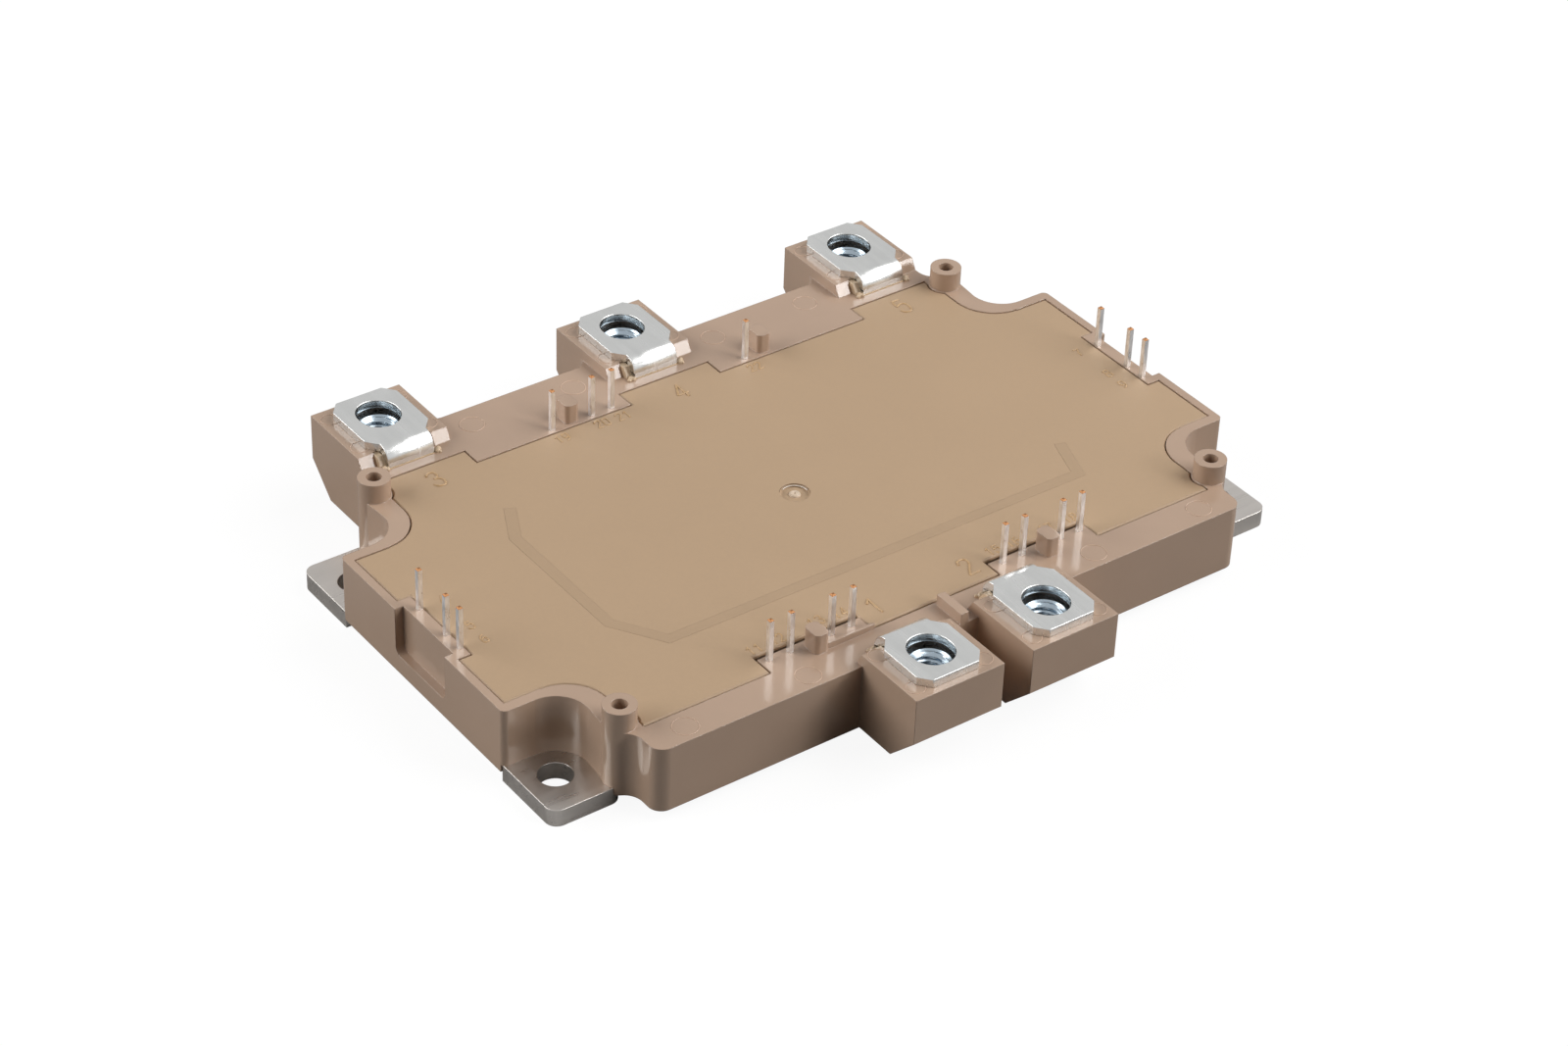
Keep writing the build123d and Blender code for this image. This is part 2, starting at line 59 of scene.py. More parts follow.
# Shader helpers


def set_inputs(tree, node, inputs):
    """Link or set inputs of a shader node, by name or by number."""
    for key, value in inputs.items():
        socket = node.inputs[key]
        if isinstance(value, bpy.types.NodeSocket):
            tree.links.new(value, socket)
        else:
            socket.default_value = value


def add_node(tree, kind, inputs=None, **settings):
    """Make a shader node, set its options, and link or set its inputs."""
    made = tree.nodes.new(kind)
    for key, value in settings.items():
        setattr(made, key, value)
    set_inputs(tree, made, inputs or {})
    return made


def start_material(name, roughness, metallic=0.0, specular=0.5):
    """A material with a principled shader, and the place of each point in metres."""
    material = bpy.data.materials.new(name)
    material.use_nodes = True
    tree = material.node_tree
    shader = tree.nodes["Principled BSDF"]
    shader.inputs["Roughness"].default_value = roughness
    shader.inputs["Metallic"].default_value = metallic
    shader.inputs["Specular IOR Level"].default_value = specular
    place = add_node(tree, "ShaderNodeTexCoord").outputs["Object"]
    return material, tree, shader, place


def noise(tree, place, scale, detail=3.0, stretch=(1.0, 1.0, 1.0)):
    """Noise from 0 to 1 around 0.5, with scale in features a metre."""
    mapped = add_node(tree, "ShaderNodeMapping", {"Vector": place, "Scale": stretch})
    made = add_node(
        tree,
        "ShaderNodeTexNoise",
        {"Vector": mapped.outputs["Vector"], "Scale": scale, "Detail": detail},
    )
    return made.outputs["Fac"]


def spread(tree, value, low=0.0, high=1.0, start=0.3, end=0.7):
    """Map a value from the range of start to end to the range of low to high."""
    made = add_node(
        tree,
        "ShaderNodeMapRange",
        {"Value": value, "From Min": start, "From Max": end, "To Min": low, "To Max": high},
    )
    return made.outputs["Result"]


def math_node(tree, operation, first, second):
    """One step of arithmetic."""
    made = add_node(tree, "ShaderNodeMath", {0: first, 1: second}, operation=operation)
    return made.outputs[0]


def mix_colour(tree, factor, first, second):
    """Mix two colours. The node's inputs 0, 6 and 7 are its factor and its two colours."""
    made = add_node(tree, "ShaderNodeMix", {0: factor, 6: first, 7: second}, data_type="RGBA")
    return made.outputs[2]


def shade(colour, factor):
    """A colour made lighter or darker."""
    return (colour[0] * factor, colour[1] * factor, colour[2] * factor, 1.0)


def shades(tree, tone, colour, low, high):
    """A colour that runs between two shades of itself."""
    return mix_colour(tree, tone, shade(colour, low), shade(colour, high))


def height_of(tree, place):
    """The height of each point."""
    return add_node(tree, "ShaderNodeSeparateXYZ", {"Vector": place}).outputs["Z"]


def round_edges(tree, height, radius, strength=0.1, distance=0.02 * MM):
    """A normal that rounds sharp edges, and rises and falls with a height."""
    bevel = add_node(tree, "ShaderNodeBevel", {"Radius": radius}, samples=6)
    bump = add_node(
        tree,
        "ShaderNodeBump",
        {
            "Height": height,
            "Strength": strength,
            "Distance": distance,
            "Normal": bevel.outputs["Normal"],
        },
    )
    return bump.outputs["Normal"]


# Plastics

FRAME_COLOUR = (0.446, 0.312, 0.225)
LID_COLOUR = (0.45, 0.315, 0.20)
LID_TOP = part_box("lid")[1].z
# The sides of the lid are darkened from just below its top, painted shade that makes the seam
# round it show dark
LID_SIDE_PAINTED_SHADE = 0.3
LID_SIDE_TOP = LID_TOP - 0.65 * MM
LID_RIM_START = LID_TOP - 0.55 * MM


def frame_plastic(name, painted_lighten=1.0):
    """Glossy moulded plastic with faint flow marks."""
    material, tree, shader, place = start_material(name, roughness=0.16)
    cloud = noise(tree, place, scale=60.0, detail=4.0)
    grain = noise(tree, place, scale=2600.0, detail=2.0)
    # Lightening above 1 makes the plastic lighter, as a painted highlight
    low, high = 0.96 * painted_lighten, 1.04 * painted_lighten
    colour = shades(tree, spread(tree, cloud), FRAME_COLOUR, low, high)
    rough = spread(tree, grain, low=0.12, high=0.19)
    normal = round_edges(tree, cloud, radius=0.2 * MM, strength=0.05, distance=0.02 * MM)
    set_inputs(tree, shader, {"Base Color": colour, "Roughness": rough, "Normal": normal})
    return material


def lid_plastic(name, darken=1.0):
    """Semi-matte moulded plastic with a fine mottle, and painted shade on its sides."""
    material, tree, shader, place = start_material(name, roughness=0.5, specular=0.35)
    cloud = noise(tree, place, scale=45.0, detail=5.0)
    grain = noise(tree, place, scale=1700.0, detail=3.0)
    tone = spread(tree, math_node(tree, "ADD", cloud, grain), start=0.6, end=1.4)
    low, high = 0.965 * darken, 1.035 * darken
    top_colour = shades(tree, tone, LID_COLOUR, low, high)
    # Below the top the colour darkens to painted shade on the sides
    level = spread(tree, height_of(tree, place), start=LID_SIDE_TOP, end=LID_RIM_START)
    colour = mix_colour(tree, level, shade(LID_COLOUR, LID_SIDE_PAINTED_SHADE), top_colour)
    rough = spread(tree, grain, low=0.44, high=0.58)
    normal = round_edges(tree, grain, radius=0.15 * MM, strength=0.25, distance=0.012 * MM)
    set_inputs(tree, shader, {"Base Color": colour, "Roughness": rough, "Normal": normal})
    return material


def bead_plastic(name, colour):
    """Smooth plastic of the thin raised marks, the moulding flash, and the beads of painted
    highlight and painted shade at the gate.
    """
    material, tree, shader, place = start_material(name, roughness=0.3)
    cloud = noise(tree, place, scale=900.0)
    tones = shades(tree, spread(tree, cloud), colour, low=0.93, high=1.07)
    rough = spread(tree, cloud, low=0.25, high=0.38)
    normal = round_edges(tree, cloud, radius=0.03 * MM)
    set_inputs(tree, shader, {"Base Color": tones, "Roughness": rough, "Normal": normal})
    return material


# Metals

TIN_DARK = (0.80, 0.79, 0.78, 1.0)
TIN_LIGHT = (0.97, 0.965, 0.96, 1.0)
BARE_COPPER = (0.30, 0.145, 0.065, 1.0)
TIN_END = 20.6 * MM
COPPER_START = 20.68 * MM


def plated_metal(name, colour, roughness, stretch, edge, streak=0.04):
    """Plated metal with fine streaks along the axis where stretch is small."""
    material, tree, shader, place = start_material(name, roughness, metallic=1.0)
    streaks = noise(tree, place, scale=900.0, stretch=stretch)
    cloud = noise(tree, place, scale=220.0)
    tone = spread(tree, math_node(tree, "ADD", streaks, cloud), start=0.7, end=1.3)
    brightest = min(1.0 + streak, 1.0 / max(colour))
    tones = shades(tree, tone, colour, low=1.0 - streak, high=brightest)
    rough = spread(tree, streaks, low=roughness - 0.04, high=roughness + 0.05)
    normal = round_edges(tree, streaks, radius=edge, strength=0.05, distance=0.005 * MM)
    set_inputs(tree, shader, {"Base Color": tones, "Roughness": rough, "Normal": normal})
    return material


def pin_metal():
    """Drawn and tinned pin with a rougher tip of bare copper."""
    material, tree, shader, place = start_material("pin_metal", roughness=0.2, metallic=1.0)
    tip = spread(tree, height_of(tree, place), start=TIN_END, end=COPPER_START)
    streaks = noise(tree, place, scale=1500.0, detail=2.0, stretch=(1.0, 1.0, 0.35))
    tin = mix_colour(tree, spread(tree, streaks), TIN_DARK, TIN_LIGHT)
    colour = mix_colour(tree, tip, tin, BARE_COPPER)
    tin_rough = spread(tree, streaks, low=0.26, high=0.42)
    tip_rough = math_node(tree, "MULTIPLY", tip, 0.55)
    rough = math_node(tree, "MAXIMUM", tin_rough, tip_rough)
    normal = round_edges(tree, streaks, radius=0.08 * MM, strength=0.1, distance=0.03 * MM)
    set_inputs(tree, shader, {"Base Color": colour, "Roughness": rough, "Normal": normal})
    return material


# Inner pieces


def plain_metal(name, colour, roughness):
    """Metal of the inner pieces."""
    material, tree, shader, place = start_material(name, roughness, metallic=1.0)
    cloud = noise(tree, place, scale=500.0)
    tones = shades(tree, spread(tree, cloud), colour, low=0.92, high=1.05)
    rough = spread(tree, cloud, low=roughness - 0.04, high=roughness + 0.06)
    set_inputs(tree, shader, {"Base Color": tones, "Roughness": rough})
    return material


def plain_ceramic(name, colour, roughness):
    """Ceramic of the inner pieces."""
    material, tree, shader, place = start_material(name, roughness)
    grain = noise(tree, place, scale=1800.0)
    tones = shades(tree, spread(tree, grain), colour, low=0.95, high=1.03)
    normal = round_edges(tree, grain, radius=0.05 * MM)
    set_inputs(tree, shader, {"Base Color": tones, "Normal": normal})
    return material


# Looks of the part's material slots, and of the small marks

looks = {
    "frame_plastic": frame_plastic("frame_plastic"),
    "lid_plastic": lid_plastic("lid_plastic"),
    "base_nickel": plated_metal(
        "base_nickel",
        colour=(0.62, 0.585, 0.55),
        roughness=0.3,
        stretch=(0.08, 1.0, 1.0),
        edge=0.15 * MM,
    ),
    "terminal_nickel": plated_metal(
        "terminal_nickel",
        colour=(0.73, 0.735, 0.725),
        roughness=0.24,
        stretch=(1.0, 0.1, 0.1),
        edge=0.12 * MM,
        streak=0.035,
    ),
    "nut_zinc": plated_metal(
        "nut_zinc",
        colour=(0.43, 0.51, 0.58),
        roughness=0.24,
        stretch=(1.0, 1.0, 0.3),
        edge=0.05 * MM,
    ),
    "pin_tin": pin_metal(),
    "circuit_copper": plain_metal("circuit_copper", (0.72, 0.38, 0.24), roughness=0.34),
    "ceramic": plain_ceramic("ceramic", (0.82, 0.82, 0.79), roughness=0.55),
    "silicon": plain_metal("silicon", (0.42, 0.43, 0.47), roughness=0.25),
    "sensor_ceramic": plain_ceramic("sensor_ceramic", (0.06, 0.06, 0.07), roughness=0.5),
    "wire_aluminium": plain_metal("wire_aluminium", (0.78, 0.78, 0.78), roughness=0.3),
}
band_look = lid_plastic("lid_band", darken=0.93)
# The ejector rings are lighter than the frame, a painted highlight on their edges
ring_highlight_look = frame_plastic("frame_mark_highlight", painted_lighten=1.45)
numeral_look = bead_plastic("lid_mark", (0.50, 0.325, 0.165))
# The light grey bead along the far wall of the gate's mark is a painted highlight
glint_look = bead_plastic("gate_glint", (0.70, 0.63, 0.56))
nub_look = bead_plastic("gate_nub", (0.64, 0.51, 0.385))
# The dark brown bead at the top of the gate's far wall is painted shade
edge_shade_look = bead_plastic("gate_edge_shade", (0.20, 0.125, 0.07))
flash_look = bead_plastic("strap_flash", (0.60, 0.45, 0.30))

slot_of = {row["node"]: row["material_slot"] for row in frame["record"]["subparts"]}
for name, piece in nodes.items():
    piece.data.materials.clear()
    piece.data.materials.append(looks[slot_of[name]])


# Helpers for pieces in more detail

SAME_POINT = 0.001 * MM
RING_POINTS = 48
RIM_TOP = LID_TOP
# Where the strap of each terminal comes out of the frame along Y
STRAP_FACES = {1: -40.8, 2: -39.0, 3: 39.0, 4: 39.0, 5: 39.0}


def add_piece(name, data, look):
    """A new piece that rides on the module."""
    data.materials.append(look)
    piece = bpy.data.objects.new(name, data)
    scene.collection.objects.link(piece)
    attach(piece, "root")
    return piece


def mesh_of(name, bm):
    """A finished mesh with its faces turned outwards."""
    bmesh.ops.recalc_face_normals(bm, faces=bm.faces)
    mesh = bpy.data.meshes.new(name)
    bm.to_mesh(mesh)
    bm.free()
    return mesh


def bridge(bm, first, second):
    """A strip of faces between two closed rings of points."""
    count = len(first)
    for i in range(count):
        j = (i + 1) % count
        bm.faces.new((first[i], first[j], second[j], second[i]))


def join_rings(bm, rings):
    """A closed skin over a row of rings, with a face at each end."""
    for first, second in zip(rings, rings[1:]):
        bridge(bm, first, second)
    bm.faces.new(rings[0])
    bm.faces.new(rings[-1])


def start_beads(name, radius):
    """A curve whose splines become round beads."""
    curve = bpy.data.curves.new(name, "CURVE")
    curve.dimensions = "3D"
    curve.bevel_depth = radius
    curve.bevel_resolution = 2
    curve.resolution_u = 6
    curve.use_fill_caps = True
    return curve


def add_bead(curve, points, height):
    """One open bead along points in millimetres, at a height in metres."""
    spline = curve.splines.new("NURBS")
    spline.points.add(len(points) - 1)
    for point, (x, y) in zip(spline.points, points):
        point.co = (x * MM, y * MM, height, 1.0)
    spline.order_u = 3
    spline.use_endpoint_u = True


def add_ring(curve, x, y, radius, height):
    """One closed bead about a point in millimetres, at a height in metres."""
    spline = curve.splines.new("POLY")
    spline.points.add(RING_POINTS - 1)
    for i, point in enumerate(spline.points):
        angle = math.tau * i / RING_POINTS
        along = (x + radius * math.cos(angle)) * MM
        across = (y + radius * math.sin(angle)) * MM
        point.co = (along, across, height, 1.0)
    spline.use_cyclic_u = True


def terminal_middle(number):
    """Where a terminal stands along X, in metres."""
    low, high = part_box(f"terminal_{number}")
    return (low.x + high.x) / 2


# Terminal nuts with a real thread

THREAD_PITCH = 1.0 * MM
THREAD_CREST = 2.45 * MM
THREAD_DEPTH = 0.55 * MM
THREAD_MOUTH = 3.3 * MM
# The crest and the root are flat over this share of half a turn
THREAD_FLAT = 0.12
NUT_FLATS = 10.0 * MM
NUT_SIDES = 72
STEPS_A_TURN = 8


def thread_radius(angle, height, bottom, top):
    """The thread's radius at an angle and a height, opened towards both faces."""
    turn = (height - bottom) / THREAD_PITCH - angle / math.tau
    flank = 1.0 - abs(2.0 * (turn % 1.0) - 1.0)
    flank = min(max((flank - THREAD_FLAT) / (1.0 - 2.0 * THREAD_FLAT), 0.0), 1.0)
    mouth = THREAD_MOUTH - min(top - height, height - bottom)
    return max(THREAD_CREST + THREAD_DEPTH * flank, mouth)


def threaded_nut(name):
    """A hexagon nut with its points along X and a helical thread in its bore."""
    low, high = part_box(name)
    middle = (low + high) / 2
    bm = bmesh.new()
    angles = [math.tau * i / NUT_SIDES for i in range(NUT_SIDES)]
    rows = round((high.z - low.z) / THREAD_PITCH * STEPS_A_TURN)

    def ring(radius_at, height):
        """A closed ring of points at one height."""
        return [
            bm.verts.new(
                (
                    middle.x + radius_at(angle) * math.cos(angle),
                    middle.y + radius_at(angle) * math.sin(angle),
                    height,
                )
            )
            for angle in angles
        ]

    def hexagon(angle):
        """The distance from the axis to the nut's outside."""
        return NUT_FLATS / 2 / math.cos(angle % (math.pi / 3) - math.pi / 6)

    rings = []
    for step in range(rows + 1):
        height = low.z + (high.z - low.z) * step / rows
        rings.append(ring(lambda a: thread_radius(a, height, low.z, high.z), height))
    rings.append(ring(hexagon, high.z))
    rings.append(ring(hexagon, low.z))
    for first, second in zip(rings, rings[1:] + rings[:1]):
        bridge(bm, first, second)
    nut = add_piece(f"{name}_threaded", mesh_of(name, bm), looks["nut_zinc"])
    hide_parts(name)


for number in STRAP_FACES:
    threaded_nut(f"terminal_nut_{number}")


# Rounded edges on the punched and pressed terminals

TERMINAL_EDGE = 0.12 * MM
TERMINAL_EDGE_ANGLE = math.radians(40)

for name, piece in nodes.items():
    if slot_of[name] == "terminal_nickel":
        weld = piece.modifiers.new("weld", "WELD")
        weld.merge_threshold = SAME_POINT
        bevel = piece.modifiers.new("bevel", "BEVEL")
        bevel.width = TERMINAL_EDGE
        bevel.segments = 2
        bevel.limit_method = "ANGLE"
        bevel.angle_limit = TERMINAL_EDGE_ANGLE


# Lid with a wide seam, and with the round mark of the gate where its plastic ran in

# The edge of the lid along the front pins is set back, as wide as the seam in the photo
SEAM_NEAR = 12.0 * MM
SEAM_FAR = 31.8 * MM
SEAM_EDGE = -32.79 * MM
SEAM_REACH = 0.25 * MM
SEAM_STEP = 0.5 * MM

GATE = (-1.2 * MM, -1.5 * MM)
GATE_SIDES = 64
# Radii and heights over the top of the lid
GATE_PROFILE = (
    (0.20, -0.24),
    (0.32, -0.12),
    (0.78, -0.12),
    (0.92, -0.45),
    (2.00, -0.48),
    (2.25, -0.42),
    (2.40, -0.08),
    (2.44, 0.0),
    (2.44, 0.3),
)


def set_back_seam(mesh):
    """Move the edge of the lid away from the front pins."""
    bm = bmesh.new()
    bm.from_mesh(mesh)
    bmesh.ops.remove_doubles(bm, verts=bm.verts, dist=SAME_POINT)
    for vertex in bm.verts:
        at_notch = SEAM_NEAR < abs(vertex.co.x) < SEAM_FAR
        if at_notch and abs(vertex.co.y - SEAM_EDGE) < SEAM_REACH:
            vertex.co.y += SEAM_STEP
    bm.to_mesh(mesh)
    bm.free()


def turned_at_gate(name, profile, sides):
    """A solid turned about the gate's axis, from radii and heights over the lid's top."""
    bm = bmesh.new()
    rings = []
    for radius, height in profile:
        ring = []
        for i in range(sides):
            angle = math.tau * i / sides
            x = GATE[0] + radius * MM * math.cos(angle)
            y = GATE[1] + radius * MM * math.sin(angle)
            ring.append(bm.verts.new((x, y, LID_TOP + height * MM)))
        rings.append(ring)
    join_rings(bm, rings)
    return mesh_of(name, bm)


def cut_gate(lid):
    """Cut the mark of the gate into the lid."""
    mark = turned_at_gate("gate_cutter", GATE_PROFILE, GATE_SIDES)
    cutter = bpy.data.objects.new("gate_cutter", mark)
    scene.collection.objects.link(cutter)
    cut = lid.modifiers.new("gate", "BOOLEAN")
    cut.object = cutter
    cut.operation = "DIFFERENCE"
    cut.solver = "EXACT"
    bpy.context.view_layer.update()
    cut_lid = lid.evaluated_get(bpy.context.evaluated_depsgraph_get())
    lid.data = bpy.data.meshes.new_from_object(cut_lid)
    lid.modifiers.clear()
    bpy.data.objects.remove(cutter)


lid_mesh = nodes["lid"].data.copy()
lid_mesh.materials.clear()
set_back_seam(lid_mesh)
lid = add_piece("lid_moulded", lid_mesh, looks["lid_plastic"])
cut_gate(lid)
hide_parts("lid")


# Faint band on the lid that follows the outline of the substrates below it

BAND_HALF = 1.0 * MM
BAND_RISE = 0.02 * MM
BAND_LINE = (
    (-41.0, 19.6),
    (-44.6, 12.4),
    (-44.6, -13.6),
    (-39.3, -21.8),
    (39.7, -22.2),
    (42.6, -14.0),
)


def band_mesh(line):
    """A flat strip along a line, mitred at its corners."""
    bm = bmesh.new()
    points = [Vector((x, y)) * MM for x, y in line]
    ways = [(b - a).normalized() for a, b in zip(points, points[1:])]
    rows = []
    for i, point in enumerate(points):
        before = ways[max(i - 1, 0)]
        after = ways[min(i, len(ways) - 1)]
        across = Vector((-(before + after).y, (before + after).x)).normalized()
        reach = BAND_HALF / across.dot(Vector((-after.y, after.x)))
        left, right = point + across * reach, point - across * reach
        corners = (
            (left, LID_TOP - BAND_RISE),
            (left, LID_TOP + BAND_RISE),
            (right, LID_TOP + BAND_RISE),
            (right, LID_TOP - BAND_RISE),
        )
        rows.append([bm.verts.new((spot.x, spot.y, height)) for spot, height in corners])
    join_rings(bm, rows)
    return mesh_of("band", bm)


add_piece("lid_band", band_mesh(BAND_LINE), band_look)


# Moulded numerals

# The strokes of a digit lie in a cell 1 wide and 2 high, and a point given twice is a corner
DIGITS = {
    "0": [
        [
            (0.5, 2.0), (0.0, 2.0), (0.0, 1.0), (0.0, 0.0), (0.5, 0.0),
            (1.0, 0.0), (1.0, 1.0), (1.0, 2.0), (0.5, 2.0),
        ],
    ],
    "1": [[(0.1, 1.5), (0.55, 2.0), (0.55, 2.0), (0.55, 0.0)]],
    "2": [
        [
            (0.0, 1.5), (0.05, 2.05), (0.95, 2.05), (1.0, 1.35),
            (0.5, 0.75), (0.0, 0.0), (0.0, 0.0), (1.0, 0.0),
        ],
    ],
    "3": [
        [(0.0, 1.65), (0.1, 2.05), (0.9, 2.05), (0.9, 1.15), (0.4, 1.08)],
        [(0.4, 1.08), (1.05, 1.0), (1.05, -0.05), (0.1, -0.05), (0.0, 0.4)],
    ],
    "4": [[(0.75, 0.0), (0.75, 2.0), (0.75, 2.0), (0.0, 0.55), (0.0, 0.55), (1.05, 0.55)]],
    "5": [
        [
            (0.95, 2.0), (0.15, 2.0), (0.15, 2.0), (0.08, 1.1), (0.08, 1.1),
            (0.6, 1.4), (1.1, 1.1), (1.0, -0.1), (0.1, -0.1), (0.0, 0.4),
        ],
    ],
    "6": [
        [
            (0.85, 1.95), (0.4, 1.9), (0.0, 1.2), (0.0, 0.0), (0.5, -0.05),
            (1.0, 0.0), (1.0, 1.15), (0.3, 1.2), (0.02, 0.7),
        ],
    ],
    "7": [[(0.0, 2.0), (1.0, 2.0), (1.0, 2.0), (0.4, 0.9), (0.35, 0.0)]],
    "8": [
        [
            (0.5, 1.08), (0.0, 1.15), (0.05, 2.0), (0.5, 2.05),
            (0.95, 2.0), (1.0, 1.15), (0.5, 1.08),
        ],
        [
            (0.5, 1.08), (-0.05, 1.0), (-0.05, 0.0), (0.5, -0.05),
            (1.05, 0.0), (1.05, 1.0), (0.5, 1.08),
        ],
    ],
    "9": [
        [
            (0.15, 0.05), (0.6, 0.1), (1.0, 0.8), (1.0, 2.0), (0.5, 2.05),
            (0.0, 2.0), (0.0, 0.85), (0.7, 0.8), (0.98, 1.3),
        ],
    ],
}
DIGIT_SPACE = 1.5

# Terminal numbers with the middle of each
BIG_NUMERALS = (
    ("1", -8.7, -32.3),
    ("2", 9.3, -32.2),
    ("3", -46.5, 32.6),
    ("4", 0.0, 32.0),
    ("5", 46.2, 32.8),
)
BIG_CELL = 1.9
BIG_BEAD = 0.19 * MM

# Pin numbers with the middle of each
SMALL_NUMERALS = (
    ("4", -62.3, 5.1),
    ("5", -62.3, -2.5),
    ("6", -62.3, -6.4),
    ("7", 62.3, 5.1),
    ("8", 62.3, -2.5),
    ("9", 62.3, -6.4),
    ("11", -30.2, -31.0),
    ("12", -25.9, -30.8),
    ("13", -18.4, -30.4),
    ("14", -14.2, -30.8),
    ("15", 15.3, -31.0),
    ("16", 19.2, -31.0),
    ("17", 26.0, -31.0),
    ("18", 30.8, -31.0),
    ("19", -23.5, 31.2),
    ("20", -15.8, 31.3),
    ("21", -11.8, 31.2),
    ("22", 14.5, 31.2),
)
SMALL_CELL = 0.95
SMALL_BEAD = 0.13 * MM


def add_numerals(name, bead, numerals, cell):
    """Raised numbers on the lid, with their tops to +Y."""
    curve = start_beads(name, bead)
    for text, x, y in numerals:
        width = cell * (1 + DIGIT_SPACE * (len(text) - 1))
        for index, digit in enumerate(text):
            left = x - width / 2 + index * DIGIT_SPACE * cell
            for stroke in DIGITS[digit]:
                points = [(left + u * cell, y + (v - 1) * cell) for u, v in stroke]
                add_bead(curve, points, LID_TOP)
    add_piece(name, curve, numeral_look)


add_numerals("lid_numerals_big", BIG_BEAD, BIG_NUMERALS, BIG_CELL)
add_numerals("lid_numerals_small", SMALL_BEAD, SMALL_NUMERALS, SMALL_CELL)


# Rings that the mould's ejector pins left in the rim and on the terminal blocks

RING_BEAD = 0.07 * MM
RIM_RING_RADIUS = 2.05
RIM_RINGS = (
    (-49.2, -40.3),
    (-27.2, -40.5),
    (28.0, -40.2),
    (49.5, -40.2),
    (-33.5, 42.5),
    (-14.0, 42.5),
    (13.8, 42.3),
    (33.0, 42.5),
)
BLOCK_TOP = 15.25 * MM
BLOCK_RING_RADIUS = 1.5
BLOCK_RING_SIDE = 6.3
BLOCK_RING_ROWS = (44.3, 53.6)

# The rings take the lighter plastic, as painted highlight
rings = start_beads("frame_rings", RING_BEAD)
for x, y in RIM_RINGS:
    add_ring(rings, x, y, RIM_RING_RADIUS, RIM_TOP)
for number, strap_face in STRAP_FACES.items():
    middle = terminal_middle(number) / MM
    for row in BLOCK_RING_ROWS:
        y = math.copysign(row, strap_face)
        for x in (middle - BLOCK_RING_SIDE, middle + BLOCK_RING_SIDE):
            add_ring(rings, x, y, BLOCK_RING_RADIUS, BLOCK_TOP)
add_piece("frame_rings", rings, ring_highlight_look)


# Nub in the mark of the gate, and beads of painted highlight and painted shade along its far wall

NUB_PROFILE = (
    (0.14, -0.27),
    (0.26, -0.1),
    (0.42, -0.03),
    (0.68, -0.07),
    (0.88, -0.2),
    (0.97, -0.46),
)
# Angles in degrees: the far side, and how far each line runs from there both ways
GATE_FAR = 54
ARC_STEP = 4
# The glint is a bead of painted highlight
GLINT_REACH = 64
GLINT_RADIUS = 2.2
GLINT_HEIGHT = LID_TOP - 0.24 * MM
GLINT_BEAD = 0.09 * MM
# The edge is a dark bead of painted shade
EDGE_REACH = 88
EDGE_RADIUS = 2.42
EDGE_HEIGHT = LID_TOP - 0.02 * MM
EDGE_BEAD = 0.06 * MM


def add_arc(name, look, bead, radius, height, reach):
    """A bead about the gate, from its far side by a reach both ways."""
    points = []
    for degrees in range(GATE_FAR - reach, GATE_FAR + reach + 1, ARC_STEP):
        angle = math.radians(degrees)
        x = GATE[0] / MM + radius * math.cos(angle)
        y = GATE[1] / MM + radius * math.sin(angle)
        points.append((x, y))
    curve = start_beads(name, bead)
    add_bead(curve, points, height)
    add_piece(name, curve, look)


nub = turned_at_gate("gate_nub", NUB_PROFILE, RING_POINTS)
add_piece("gate_nub", nub, nub_look)
add_arc("gate_glint", glint_look, GLINT_BEAD, GLINT_RADIUS, GLINT_HEIGHT, GLINT_REACH)
add_arc("gate_edge_shade", edge_shade_look, EDGE_BEAD, EDGE_RADIUS, EDGE_HEIGHT, EDGE_REACH)


# Moulding flash at the foot of each strap

# Lumps stand at both edges of the strap. Each has its way across from the edge on the side of
# -X, its way out from the strap, and its radius.
FLASH_SIDE = 4.78
FLASH_RISE = 0.1
FLASH_LUMPS = (
    (0.0, 0.3, 0.52),
    (-0.5, 0.0, 0.36),
    (0.35, -0.05, 0.4),
    (9.6, 0.1, 0.55),
    (10.0, 0.5, 0.5),
    (9.9, -0.3, 0.3),
)
LUMP_SWELL = 0.22
LUMP_WAVES = 1.7

# A filling stands in the slot at the edge on the side of -X. It starts a little way out from
# the strap, leans out towards its top, and has its middle near the rim's top.
FILL_SIZE = (1.15, 2.2, 1.9)
FILL_START = 0.5
FILL_LEAN = 1.2
FILL_LIFT = 0.42
FILL_CUTS = 9
FILL_BUMP = 0.09
FILL_WAVES = (4, 7, 6)

# The flash of each terminal takes its waves from another stretch of the noise
SEED_STEP = 3.7


def add_lumps(bm, middle, face, side, seed):
    """Round lumps at both edges of a strap."""
    for index, (across, out, radius) in enumerate(FLASH_LUMPS):
        x = middle - (FLASH_SIDE - across) * MM
        spot = Vector((x, (face + side * out) * MM, RIM_TOP + FLASH_RISE * MM))
        made = bmesh.ops.create_icosphere(bm, subdivisions=3, radius=radius * MM)
        for vertex in made["verts"]:
            way = vertex.co.normalized()
            wave = noise_field.noise(way * LUMP_WAVES + Vector((seed, index, 0.0)))
            vertex.co = spot + way * radius * MM * (1.0 + LUMP_SWELL * wave)


